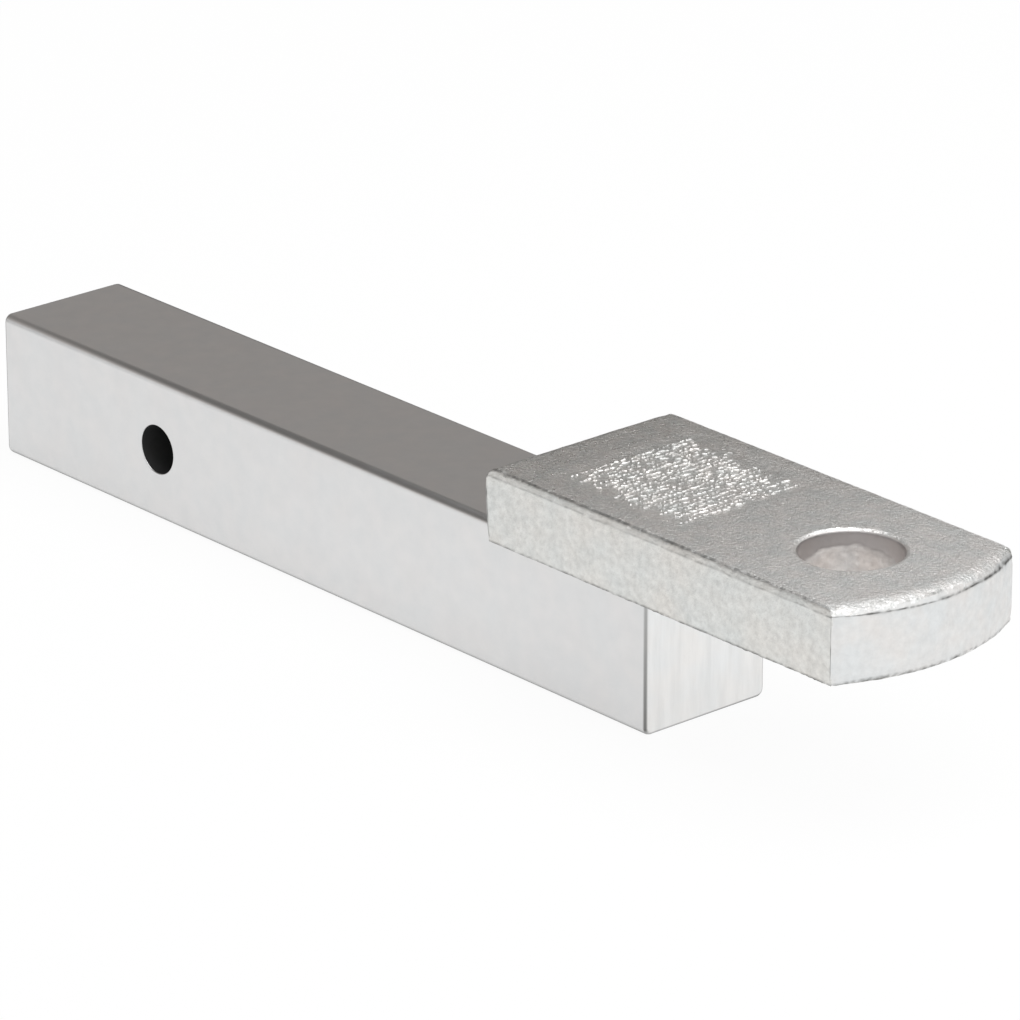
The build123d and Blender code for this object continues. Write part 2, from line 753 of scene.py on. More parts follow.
@dataclass
class ShankBar:
    """The square receiver shank: a drawn bar with rolled corners, sawn ends and a pin hole."""

    corner_radius: float = 2.8 * MM
    corner_steps: int = 8
    end_break: float = 1.2 * MM
    pin_radius: float = 8.5 * MM
    pin_edge_break: float = 0.35 * MM
    pin_sides: int = 96
    break_steps: int = 3
    smooth_angle: float = 40.0
    flat_area: float = 1000 * MM**2
    low: Vector = field(init=False)
    high: Vector = field(init=False)

    def __post_init__(self) -> None:
        """Reads the bar's box from the frame."""
        self.low, self.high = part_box("shank")

    def build(self) -> bpy.types.Object:
        """Builds and dresses the bar.

        Returns:
            The piece.
        """
        low, high = self.low, self.high
        bar = add_block("shank_bar", low, high)
        with editing(bar):
            bevel_edges(
                bar,
                self.corner_radius,
                self.corner_steps,
                lambda middle, run: abs(run.x) > 0.9,
            )
            bevel_edges(
                bar,
                self.end_break,
                self.break_steps,
                lambda middle, run: abs(run.x) < 0.1
                and min(abs(middle.x - low.x), abs(middle.x - high.x)) < HAIR,
            )
        carve(bar, self.pin_drill())
        rim = self.pin_radius + 2 * HAIR
        with editing(bar):
            bevel_edges(
                bar,
                self.pin_edge_break,
                self.break_steps,
                lambda middle, run: abs(run.y) < 0.1
                and math.hypot(middle.x, middle.z) < rim
                and min(abs(middle.y - low.y), abs(middle.y - high.y)) < HAIR,
            )
        self.dress(bar)
        return bar

    def pin_drill(self) -> bpy.types.Object:
        """Makes the solid that drills the pin hole.

        Returns:
            The drill, across the bar at the origin.
        """
        clear_selection()
        bpy.ops.mesh.primitive_cylinder_add(
            vertices=self.pin_sides,
            radius=self.pin_radius,
            depth=(self.high.y - self.low.y) * 1.2,
            rotation=(math.pi / 2, 0, 0),
        )
        return named_piece("pin_drill")

    def dress(self, bar: bpy.types.Object) -> None:
        """Gives the bar its finishes and fits it into the frame.

        Args:
            bar: The bar.
        """
        for finish in (DRAWN_ZINC, SAWN_ZINC, PAINTED_SHADE_BORE):
            bar.data.materials.append(finish.material())
        paint_faces(
            bar,
            1,
            lambda middle, normal: abs(normal.x) > 0.9
            and not self.low.x + MM <= middle.x <= self.high.x - MM,
        )
        # The pin bore gets the near-black painted shade.
        paint_faces(
            bar,
            2,
            lambda middle, normal: math.hypot(middle.x, middle.z) < self.pin_radius + HAIR
            and abs(middle.y) < self.high.y - self.pin_edge_break,
        )
        # Stores the painted shade of the bar's edges.
        store_painted_shade(bar, self.scale)
        smooth_faces(bar, self.smooth_angle)
        for face in bar.data.polygons:
            if face.area > self.flat_area:
                face.use_smooth = False
        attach(bar, BODY)
        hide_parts("shank")

    def scale(self, place: Vector, normal: Vector) -> float:
        """Painted shade along the ends' broken edges and the rolled corners: thin dark lines that
        stand in for the dark reflections there.

        Args:
            place: A place on the bar.
            normal: Its normal.

        Returns:
            The painted shade's strength.
        """
        if math.hypot(place.x, place.z) < 2 * self.pin_radius:
            return 0.0
        patchy = patchiness(place, 500, 120)
        # A painted dark reflection on the ends' broken edges.
        if 0.3 < abs(normal.x) < 0.95:
            return 0.7 * patchy
        # Painted shade on the bottom corners, growing as they turn down towards the floor's contact
        # shadow.
        if place.z < 0 and abs(normal.z) > 0.3:
            return 0.75 * patchy * (abs(normal.z) - 0.3) / 0.4
        # A faint painted dark reflection on the top far corner.
        if place.z > 0 and normal.y > 0.3:
            return 0.14 * patchy
        return 0.0


@dataclass
class MarkField:
    """The raised field on the plate: crossed rows of short slanted ribs that give grip."""

    rear_x: float = 206.5 * MM
    front_x: float = 258 * MM
    middle_y: float = 1.5 * MM
    half_width: float = 27.5 * MM
    rows: int = 22
    pitch: float = 2.0 * MM
    rib_length: float = 2.15 * MM
    rib_width: float = 1.1 * MM
    rib_height: float = 1.0 * MM
    slant: float = 72.0
    slant_spread: float = 42.0
    length_shares: Span = (0.5, 1.35)
    width_shares: Span = (0.6, 1.15)
    crown_depths: Span = (0.03 * MM, 0.2 * MM)
    stray_along: float = 0.5 * MM
    stray_across: float = 0.35 * MM
    gap_share: float = 0.08
    ragged: float = 7 * MM
    seed: int = 7

    def rib(self) -> bpy.types.Object:
        """Models one rib.

        Returns:
            The rib, lying along X on the origin's plane, with its crown at zero height.
        """
        half = Vector((self.rib_length, self.rib_width, 0)) / 2
        rib = add_block("rib", -half - Vector((0, 0, self.rib_height)), half)
        with editing(rib):
            bevel_edges(rib, 0.4 * self.rib_width, 2, lambda middle, run: abs(run.z) > 0.9)
            bevel_edges(
                rib,
                0.42 * self.rib_width,
                3,
                lambda middle, run: middle.z > -HAIR and abs(run.z) < 0.1,
            )
        return rib

    def build(self, top_z: float) -> list[bpy.types.Object]:
        """Copies the rib into its rows, which end raggedly.

        Args:
            top_z: The height of the ribs' crowns.

        Returns:
            The ribs, each with its own mesh.
        """
        draw = random.Random(self.seed)
        pattern = self.rib()
        ribs = []
        for row in range(self.rows):
            x = self.rear_x + (self.front_x - self.rear_x) * row / (self.rows - 1)
            right = self.middle_y - self.half_width + draw.uniform(0, self.ragged)
            left = self.middle_y + self.half_width - draw.uniform(0, self.ragged)
            side = 1 if row % 2 else -1
            count = int((left - right) / self.pitch)
            for index in range(count):
                if draw.random() < self.gap_share:
                    continue
                y = right + (index + 0.5) * self.pitch
                y += draw.uniform(-self.stray_across, self.stray_across)
                turn = self.slant + draw.uniform(-self.slant_spread, self.slant_spread)
                size = (draw.uniform(*self.length_shares), draw.uniform(*self.width_shares))
                at_x = x + draw.uniform(-self.stray_along, self.stray_along)
                crown_z = top_z - draw.uniform(*self.crown_depths)
                rib = pattern.copy()
                rib.data = pattern.data.copy()
                rib.data.transform(
                    Matrix.Translation((at_x, y, crown_z))
                    @ Matrix.Rotation(math.radians(side * turn), 4, "Z")
                    @ Matrix.Diagonal((*size, 1, 1))
                )
                bpy.context.scene.collection.objects.link(rib)
                ribs.append(rib)
        bpy.data.objects.remove(pattern)
        return ribs


@dataclass
class TonguePlate:
    """The forged tongue plate: a rolled rear end, rubbed edges, a sheared nose and the ball hole."""

    nose_radius: float = 76.2 * MM
    outline_sides: int = 640
    nose_change: Span = (0.235, 0.325)
    rear_roll: float = 4.5 * MM
    rear_draft: float = 1.4 * MM
    draft_reach: float = 5 * MM
    far_roll: float = 1.0 * MM
    side_depth: float = 2.8 * MM
    side_lean: float = 0.5 * MM
    side_bend: float = 1.0 * MM
    bend_width: float = 1.2 * MM
    edge_band: float = 2.3 * MM
    nose_slope: float = 6.5 * MM
    nose_sag: float = 1.15 * MM
    nose_roll: float = 1.4 * MM
    nose_depths: Place = (2.4 * MM, 3.3 * MM, 2.9 * MM)
    nose_rise: float = 1.0 * MM
    rise_width: float = 1.6 * MM
    rise_start: float = 12 * MM
    rear_corners: tuple[float, float] = (0.45 * MM, 5.5 * MM)
    bottom_break: float = 0.5 * MM
    skin_drop: float = 0.1 * MM
    grid: Place = (0.8 * MM, 2.0 * MM, 2.5 * MM)
    hole_x: float = 307.7 * MM
    hole_radius: float = 16.65 * MM
    hole_rim: float = 1.5 * MM
    land_depth: float = 5.6 * MM
    land_swing: float = 5.5 * MM
    land_turn: float = 139.0
    field_middle: Span = (0.232, 0.0015)
    field_half: float = 0.028
    tear_flare: float = 0.9 * MM
    smooth_angle: float = 60.0
    low: Vector = field(init=False)
    high: Vector = field(init=False)
    shank_high: Vector = field(init=False)
    top: float = field(init=False)

    def __post_init__(self) -> None:
        """Reads the plate's box and the shank's highest corner from the frame."""
        self.low, self.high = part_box("tongue_plate")
        self.shank_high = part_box("shank")[1]
        self.top = self.high.z - self.skin_drop

    def build(self) -> bpy.types.Object:
        """Builds and dresses the plate, and joins the raised marks to it.

        Returns:
            The piece.
        """
        plate = self.blank()
        self.divide(plate)
        self.roll_edges(plate)
        carve(plate, self.punch())
        # Stores the painted shade along the edges and on the hole's land.
        store_painted_shade(plate, self.scale)
        self.forge_skin(plate)
        self.dress(plate)
        ribs = MarkField().build(self.high.z)
        stand_alone(plate)
        for rib in ribs:
            rib.data.materials.append(plate.data.materials[0])
            rib.select_set(True)
        bpy.ops.object.join()
        return plate

    def from_nose(self, place: Vector) -> float:
        """How far a place lies inside the nose's arc, seen from above.

        Args:
            place: The place.

        Returns:
            The distance, which is the arc's radius behind its centre.
        """
        centre_x = self.high.x - self.nose_radius
        if place.x < centre_x:
            return self.nose_radius
        return self.nose_radius - math.hypot(place.x - centre_x, place.y)

    def inward(self, place: Vector) -> float:
        """How far a place lies inside the plate's sides and nose, seen from above."""
        return min(self.high.y - abs(place.y), self.from_nose(place))

    def from_hole(self, place: Vector) -> float:
        """How far a place lies from the hole's axis."""
        return math.hypot(place.x - self.hole_x, place.y)

    def towards_nose(self, place: Vector) -> float:
        """Goes from 0 at the rear to 1 at the nose, where the edges change their form."""
        start, end = self.nose_change
        return max(0.0, min(1.0, (place.x - start) / (end - start)))

    def blank(self) -> bpy.types.Object:
        """Cuts the outline from a disc as wide as the nose is round, and draws it out rearwards.

        Returns:
            The blank, with its top edges rounded and its bottom edges broken.
        """
        centre_x = self.high.x - self.nose_radius
        clear_selection()
        bpy.ops.mesh.primitive_cylinder_add(
            vertices=self.outline_sides,
            radius=self.nose_radius,
            depth=self.top - self.low.z,
            location=(centre_x, 0, (self.low.z + self.top) / 2),
        )
        plate = named_piece("tongue_plate_forging")
        with editing(plate):
            cut((0, self.high.y, 0), (0, 1, 0))
            cut((0, self.low.y, 0), (0, -1, 0))
            cut((centre_x, 0, 0), (-1, 0, 0))
            pick(plate, MeshPart.FACE, lambda middle, normal: normal.x < -0.99)
            bpy.ops.mesh.extrude_region_move(
                TRANSFORM_OT_translate={"value": (self.low.x - centre_x, 0, 0)}
            )
            bpy.ops.mesh.select_all(action="SELECT")
            bpy.ops.mesh.dissolve_limited(angle_limit=math.radians(0.05))
            bevel_edges(
                plate,
                self.bottom_break,
                2,
                lambda middle, run: middle.z < self.low.z + HAIR and abs(run.z) < 0.1,
            )
            bevel_edges(
                plate,
                self.edge_band,
                8,
                lambda middle, run: middle.z > self.top - HAIR and abs(run.z) < 0.1,
            )
        return plate

    def divide(self, plate: bpy.types.Object) -> None:
        """Divides the blank along, across and up, and finely beside its sharp edges.

        Args:
            plate: The blank.
        """
        nose_x = self.corner_x()
        extra = (
            [self.low.x + inset * MM for inset in (0.15, 0.3, 0.45, 1.2)]
            + [nose_x - 0.25 * MM, nose_x + 0.1 * MM],
            [
                side * (self.high.y - inset * MM)
                for side in (-1, 1)
                for inset in (0.2, 0.3, 0.6, 0.9)
            ],
            [self.top - self.edge_band - inset * MM for inset in (0.3, 0.65, 1.1)]
            + [self.low.z + self.bottom_break + inset * MM for inset in (0.3, 0.8)],
        )
        with editing(plate):
            for axis, step in enumerate(self.grid):
                normal = tuple(1.0 if index == axis else 0.0 for index in range(3))
                count = int((self.high[axis] - self.low[axis]) / step)
                places = [self.low[axis] + index * step for index in range(1, count)]
                for at in places + extra[axis]:
                    point = tuple(at if index == axis else 0.0 for index in range(3))
                    cut(point, normal, clear_above=False, fill=False)

    def corner_x(self) -> float:
        """Where the straight sides end and the nose begins."""
        half_width = self.high.y
        return self.high.x - self.nose_radius + math.sqrt(self.nose_radius**2 - half_width**2)

    def drop(self, place: Vector) -> float:
        """How far the rolled edges lie below the plate's top at a place seen from above.

        The near side bends over quickly and then leans in a little as far as a blunt edge, the
        far side is only broken, and the rear end is round. The nose sags a little and then rolls
        over steeply, deepest in its middle.

        Args:
            place: The place; its height isn't used.

        Returns:
            The depth of the rolled skin there.
        """
        from_side = max(0.0, self.high.y - abs(place.y))
        from_nose = max(0.0, self.from_nose(place))
        behind = max(0.0, place.x - self.low.x)
        flat = Vector((place.x, place.y, 0))
        wavy = noise.noise(flat * 110)

        near, middle, far = self.nose_depths
        across = max(-1.0, min(1.0, place.y / self.high.y))
        end = near if across < 0 else far
        deep = middle + (end - middle) * across**2 + 0.35 * MM * wavy
        nose = self.nose_sag * max(0.0, 1 - from_nose / self.nose_slope) ** 2
        nose += (deep - self.nose_sag) * max(0.0, 1 - from_nose / self.nose_roll) ** 1.5

        if place.y > 0:
            side = self.round_drop(from_side, self.far_roll)
        elif from_side < self.side_lean:
            risen = (self.side_bend - self.side_depth) * from_side / self.side_lean
            side = self.side_depth + risen
        else:
            bent = max(0.0, 1 - (from_side - self.side_lean) / self.bend_width)
            side = self.side_bend * bent**2
        side *= 1 + 0.12 * wavy
        return math.hypot(max(side, nose), self.round_drop(behind, self.rear_roll))

    def round_drop(self, inside: float, radius: float) -> float:
        """The drop of a quarter round.

        Args:
            inside: How far inside its edge.
            radius: Its radius.

        Returns:
            The drop there.
        """
        if inside >= radius:
            return 0.0
        return radius - math.sqrt(max(0.0, radius**2 - (radius - inside) ** 2))

    def rise(self, place: Vector) -> float:
        """How far the underside's edge is rubbed up at a place seen from below.

        Args:
            place: The place; its height isn't used.

        Returns:
            The height of the rubbed edge there.
        """
        inside = max(0.0, self.inward(place))
        if inside >= self.rise_width:
            return 0.0
        from_corner = max(0.0, place.y + self.high.y) / self.rise_start
        share = self.towards_nose(place) ** 2 * min(1.0, 0.15 + from_corner)
        return self.nose_rise * share * (1 - inside / self.rise_width) ** 2

    def roll_edges(self, plate: bpy.types.Object) -> None:
        """Rolls the edges over, draws the rear end's foot in, and rounds its upright corners.

        The square that stands in each rear corner is pulled into a quarter of a circle.

        Args:
            plate: The divided blank.
        """
        brink = self.top - self.edge_band
        for vertex in plate.data.vertices:
            place = vertex.co
            fallen = self.drop(place)
            if place.z > brink + HAIR:
                place.z = self.top - fallen
            else:
                foot = self.low.z + self.rise(place)
                share = (place.z - self.low.z) / (brink - self.low.z)
                place.z = foot + (self.top - fallen - foot) * share
            corner = self.rear_corners[place.y > 0]
            out_y = abs(place.y) - (self.high.y - corner)
            out_x = self.low.x + corner - place.x
            if out_x > 0 and out_y > 0:
                pull = max(out_x, out_y) / math.hypot(out_x, out_y)
                place.x = self.low.x + corner - out_x * pull
                place.y = math.copysign(self.high.y - corner + out_y * pull, place.y)
            behind = place.x - self.low.x
            if behind < self.draft_reach:
                place.x += self.draft(place.z) * (1 - behind / self.draft_reach)

    def draft(self, height: float) -> float:
        """How far the rear end is drawn in at a height, most at its foot."""
        share = (height - self.low.z) / (self.top - self.low.z)
        return self.rear_draft * max(0.0, 1 - 1.5 * share)

    def punch(self) -> bpy.types.Object:
        """Makes the solid that punches the ball hole: a rolled rim, the land, and the flare below.

        Returns:
            The punch.
        """
        depth = self.top - self.low.z
        wide = self.hole_radius + self.hole_rim
        profile = [(wide + MM, MM)]
        for step in range(7):
            turn = math.radians(90 * step / 6)
            profile.append(
                (
                    wide - self.hole_rim * math.sin(turn),
                    -self.hole_rim * (1 - math.cos(turn)),
                )
            )
        rings = 32
        for ring in range(1, rings + 1):
            down = self.hole_rim + (depth + MM - self.hole_rim) * ring / rings
            flare = self.tear_flare * max(0.0, down - self.land_depth) / depth
            profile.append((self.hole_radius + flare, -down))
        return lathe("punch", Vector((self.hole_x, 0, self.top)), profile, 160)

    def land_end(self, place: Vector) -> float:
        """Where the smooth land ends and the torn wall begins.

        Args:
            place: The place; only its direction from the hole's axis is used.

        Returns:
            The height there.
        """
        angle = math.atan2(place.y, place.x - self.hole_x)
        lean = (1 - math.cos(angle - math.radians(self.land_turn))) * self.land_swing
        wave = noise.noise(Vector((math.cos(angle) * 4, math.sin(angle) * 4, 0.3)))
        wave += 0.5 * noise.noise(Vector((math.cos(angle) * 13, math.sin(angle) * 13, 0.8)))
        return self.top - self.land_depth - lean - wave * 0.9 * MM

    def forge_skin(self, plate: bpy.types.Object) -> None:
        """Works the forged skin, the rubbed edges and the torn part of the hole into the mesh.

        Args:
            plate: The plate.
        """
        weigh(plate, "skin", self.skin_weight)
        weigh(plate, "field", self.field_weight)
        weigh(plate, "edges", self.edge_weight)
        weigh(plate, "torn", self.torn_weight)
        roughen(plate, "skin", 16 * MM, 0.22 * MM)
        roughen(plate, "field", 16 * MM, 0.35 * MM)
        roughen(plate, "skin", 3.2 * MM, 0.12 * MM)
        roughen(plate, "edges", 1.9 * MM, 0.5 * MM)
        roughen(plate, "torn", 2.2 * MM, -0.7 * MM, Cloud.HARD, 3)
        plate.vertex_groups.clear()

    def skin_weight(self, place: Vector, normal: Vector) -> float:
        """Picks all of the plate but the smooth land and the seat on the shank.

        Args:
            place: A place on the plate.
            normal: Its normal.

        Returns:
            The weight, which is less off the top.
        """
        if self.from_hole(place) < self.hole_radius + 0.3 * MM:
            return 0.0
        seat_x, seat_y = self.shank_high.x + 2 * MM, self.shank_high.y + 2 * MM
        if place.z < self.low.z + 0.6 * MM and place.x < seat_x and abs(place.y) < seat_y:
            return 0.0
        return 1.0 if normal.z > 0.7 else 0.25

    def field_weight(self, place: Vector, normal: Vector) -> float:
        """Picks the ground of the raised marks, which lies a little deeper than the rest.

        Args:
            place: A place on the plate.
            normal: Its normal, which isn't used.

        Returns:
            The weight.
        """
        if place.z < self.top - 2 * MM:
            return 0.0
        middle_x, middle_y = self.field_middle
        out_x = abs(place.x - middle_x) - self.field_half
        out_y = abs(place.y - middle_y) - self.field_half
        return max(0.0, min(1.0, 1 - max(out_x, out_y) / (3 * MM)))

    def edge_weight(self, place: Vector, normal: Vector) -> float:
        """Picks a narrow run along the top and bottom edges, strongest by the nose.

        Args:
            place: A place on the plate.
            normal: Its normal, which isn't used.

        Returns:
            The weight.
        """
        if self.from_hole(place) < self.hole_radius + 3 * MM:
            return 0.0
        inside = min(self.inward(place), place.x - self.low.x)
        if inside > 4 * MM:
            return 0.0
        edge_z = self.top - self.drop(Vector((place.x, math.copysign(1, place.y), 0)))
        height = min(place.z - self.low.z, abs(edge_z - place.z))
        near = max(0.0, 1 - max(0.0, height - 2 * MM) / (3 * MM)) * (1 - inside / (4 * MM))
        wear_and_painted_shade = 0.75 if place.y < 0 else 0.45
        return near * (wear_and_painted_shade + (1 - wear_and_painted_shade) * self.towards_nose(place))

    def torn_weight(self, place: Vector, normal: Vector) -> float:
        """Picks the hole's wall under the land, from an uneven line down.

        Args:
            place: A place on the plate.
            normal: Its normal, which isn't used.

        Returns:
            The weight.
        """
        if self.from_hole(place) > self.hole_radius + 1.2 * MM:
            return 0.0
        return max(0.0, min(1.0, (self.land_end(place) - place.z) / (1.6 * MM)))

    def scale(self, place: Vector, normal: Vector) -> float:
        """Painted shade in a thin broken line along each edge, standing in for the shade and dark
        reflections there, and the smooth land's share in the hole.

        Args:
            place: A place on the plate.
            normal: Its normal, which isn't used.

        Returns:
            The painted shade's strength.
        """
        # The hole's smooth land above the uneven line gets a painted dark reflection; the torn wall
        # below gets none.
        if self.from_hole(place) < self.hole_radius + 1.3 * MM and place.z < self.top - MM:
            return (place.z - self.land_end(place)) / (0.8 * MM) + 0.5
        inside = min(self.inward(place), place.x - self.low.x)
        if self.from_hole(place) < self.hole_radius + 3 * MM or inside > 1.7 * MM:
            return 0.0
        patchy = patchiness(place, 700, 210)
        near_nose = self.towards_nose(place)
        fallen = self.top - place.z
        # The near side's bend: a painted dark line, with fainter painted shade on the lean below it.
        if place.y < 0 and inside > 0.5 * MM and self.from_nose(place) > 0.6 * MM:
            bend = fallen > 0.04 * MM and inside > 0.9 * MM
            lean = (0.28 - 0.1 * near_nose) * (1 + 1.2 * noise.noise(place * 1100))
            line = 0.5 - 0.1 * near_nose
            return patchy * (line if bend else lean) if fallen < 1.6 * MM else 0.0
        if inside > 0.7 * MM:
            return 0.0
        # Along the foot: painted shade in the crease over the shank and by the floor, fainter at the
        # nose.
        raised = place.z - self.low.z - self.rise(place)
        if raised < 1.3 * MM:
            bare = 0.45 if self.from_nose(place) < 2 * MM else 0.0
            return (patchy * 0.9 - bare) * (1 - raised / (1.3 * MM))
        # A painted dark line on the nose's upright corners.
        from_corner = math.hypot(place.x - self.corner_x(), abs(place.y) - self.high.y)
        if from_corner < 0.24 * MM:
            return patchy * 1.05
        # A painted dark line on the rear end's upright corners.
        from_rear = place.x - self.low.x - self.draft(place.z)
        if from_rear < 0.9 * MM and abs(place.y) > self.high.y - 0.4 * MM:
            return patchy * 0.8
        return patchy * self.top_line(place, inside)

    def top_line(self, place: Vector, inside: float) -> float:
        """The line of painted shade along the top edges, standing in for their dark reflections,
        which grows towards the nose's far end.

        Args:
            place: A place on the plate.
            inside: How far it lies inside the outline.

        Returns:
            The line's strength.
        """
        below = self.top - self.drop(place) - place.z
        near_nose = self.towards_nose(place)
        far_end = max(0.0, min(1.0, place.y / self.high.y + 0.1)) * near_nose
        grown = 1 + 0.9 * far_end + 0.6 * noise.noise(place * 160)
        line = max(0.0, 1 - below / (0.55 * grown * MM))
        line *= max(0.0, 1 - inside / (0.16 * grown**2 * MM))
        if self.from_nose(place) > 2 * MM:
            return 0.35 * line
        return line * (0.85 + 0.25 * far_end)

    def dress(self, plate: bpy.types.Object) -> None:
        """Gives the plate its finishes and fits it into the frame.

        Args:
            plate: The plate.
        """
        for finish in (FORGED_ZINC, SIDE_ZINC, SHEARED_ZINC, TORN_ZINC):
            plate.data.materials.append(finish.material())
        nose_x = self.corner_x()
        paint_faces(plate, 1, lambda middle, normal: abs(normal.z) < 0.45)
        paint_faces(
            plate,
            2,
            lambda middle, normal: middle.x > nose_x and normal.x > 0.5 and abs(normal.z) < 0.45,
        )
        wall = self.hole_radius + 1.4 * MM
        paint_faces(
            plate,
            3,
            lambda middle, normal: self.from_hole(middle) < wall
            and self.low.z + 0.2 * MM < middle.z < self.top - 0.8 * MM,
        )
        smooth_faces(plate, self.smooth_angle)
        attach(plate, BODY)
        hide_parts("tongue_plate")


@dataclass
class WeldBead:
    """A fillet weld: lens-shaped ripples that lap one another along an inner corner."""

    name: str
    node: str
    corner: Vector
    first_side: Vector
    second_side: Vector
    run: Vector
    length: float
    root: float
    leg: float = 6.3 * MM
    crown: float = 0.9 * MM
    pitch: float = 3.1 * MM
    lap: float = 1.1
    sweep: float = 1.1 * MM
    sink: float = 0.25 * MM
    voxel: float = 0.3 * MM
    smooth_angle: float = 50.0
    seed: int = 1

    def build(self) -> bpy.types.Object:
        """Builds and dresses the bead.

        Returns:
            The piece.
        """
        draw = random.Random(self.seed)
        chord = self.leg * math.sqrt(2)
        radius = chord**2 / (8 * self.crown) + self.crown / 2
        inset = (radius - self.crown) / math.sqrt(2) - self.leg / 2
        count = max(3, round(self.length / self.pitch))
        pattern = self.ripple(radius, inset)
        lumps = []
        for index in range(count):
            at = (index + 0.5) / count
            ends = min(1.0, 0.86 + 0.14 * min(at, 1 - at) * count / 1.5)
            size = ends * draw.uniform(0.975, 1.0)
            lump = pattern.copy()
            lump.data = pattern.data.copy()
            lump.data.transform(
                Matrix.Translation((0, 0, (at - 0.5) * self.length))
                @ Matrix.Diagonal((size, size, 1, 1))
            )
            bpy.context.scene.collection.objects.link(lump)
            lumps.append(lump)
        bpy.data.objects.remove(pattern)
        bead = lumps[0]
        bead.name = self.name
        stand_alone(bead)
        for lump in lumps:
            lump.select_set(True)
        bpy.ops.object.join()
        self.shape(bead)
        self.dress(bead)
        return bead

    def ripple(self, radius: float, inset: float) -> bpy.types.Object:
        """Makes one ripple: a quarter of a flat lens.

        Args:
            radius: The lens's radius across the run.
            inset: How far its middle lies behind each of the corner's two faces.

        Returns:
            The ripple, a closed lump with the corner at the origin.
        """
        clear_selection()
        bpy.ops.mesh.primitive_uv_sphere_add(segments=64, ring_count=24, radius=1)
        lens = named_piece("ripple")
        lens.data.transform(
            Matrix.Translation((-inset, -inset, 0))
            @ Matrix.Diagonal((radius, radius, self.pitch * self.lap, 1))
        )
        behind = -3 * MM
        with editing(lens):
            cut((behind, 0, 0), (-1, 0, 0))
            cut((0, behind, 0), (0, -1, 0))
        return lens

    def shape(self, bead: bpy.types.Object) -> None:
        """Fuses the ripples, cuts them to the corner and sets the bead in its place.

        Args:
            bead: The joined ripples.
        """
        apply_modifier(bead, "REMESH", mode="VOXEL", voxel_size=self.voxel)
        for vertex in bead.data.vertices:
            side = (vertex.co.x - vertex.co.y) / self.leg
            vertex.co.z -= side * side * self.sweep
        apply_modifier(bead, "SMOOTH", factor=0.5, iterations=1)
        weigh(bead, "all", lambda place, normal: 1.0)
        roughen(bead, "all", 1.5 * MM, 0.25 * MM)
        bead.vertex_groups.clear()
        with editing(bead):
            cut((-self.root, 0, 0), (-1, 0, 0))
            cut((0, -self.sink, 0), (0, -1, 0))
        turn = Matrix((self.first_side, self.second_side, self.run)).transposed().to_4x4()
        bead.data.transform(Matrix.Translation(self.corner) @ turn)
        with editing(bead):
            bpy.ops.mesh.select_all(action="SELECT")
            bpy.ops.mesh.normals_make_consistent(inside=False)

    def dress(self, bead: bpy.types.Object) -> None:
        """Gives the bead its finish and fits it into the frame.

        Args:
            bead: The bead.
        """
        bead.data.materials.append(WELD_ZINC.material())
        smooth_faces(bead, self.smooth_angle)
        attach(bead, BODY)
        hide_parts(self.node)


@dataclass
class Welds:
    """The four fillet welds that hold the plate to the shank."""

    side_root: float = 1.6 * MM
    cross_root: float = 0.5 * MM
    shank_high: Vector = field(init=False)
    plate_low: Vector = field(init=False)

    def __post_init__(self) -> None:
        """Reads the joint's corners from the frame."""
        self.shank_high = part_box("shank")[1]
        self.plate_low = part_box("tongue_plate")[0]

    def build(self) -> list[bpy.types.Object]:
        """Builds the beads.

        Returns:
            The four pieces.
        """
        joint_z = self.plate_low.z
        down, up = Vector((0, 0, -1)), Vector((0, 0, 1))
        beads = []
        for side, name in ((1, "weld_left"), (-1, "weld_right")):
            low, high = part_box(name)
            beads.append(
                WeldBead(
                    name=f"{name}_bead",
                    node=name,
                    corner=Vector(((low.x + high.x) / 2, side * self.shank_high.y, joint_z)),
                    first_side=Vector((0, side, 0)),
                    second_side=down,
                    run=Vector((1, 0, 0)),
                    length=high.x - low.x,
                    root=self.side_root,
                    seed=side + 3,
                )
            )
        for name, x, outward, upward in (
            ("weld_front", self.shank_high.x, 1, down),
            ("weld_rear", self.plate_low.x, -1, up),
        ):
            low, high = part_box(name)
            beads.append(
                WeldBead(
                    name=f"{name}_bead",
                    node=name,
                    corner=Vector((x, 0, joint_z)),
                    first_side=Vector((outward, 0, 0)),
                    second_side=upward,
                    run=Vector((0, 1, 0)),
                    length=high.y - low.y,
                    root=self.cross_root,
                    seed=outward + 7,
                )
            )
        return [bead.build() for bead in beads]


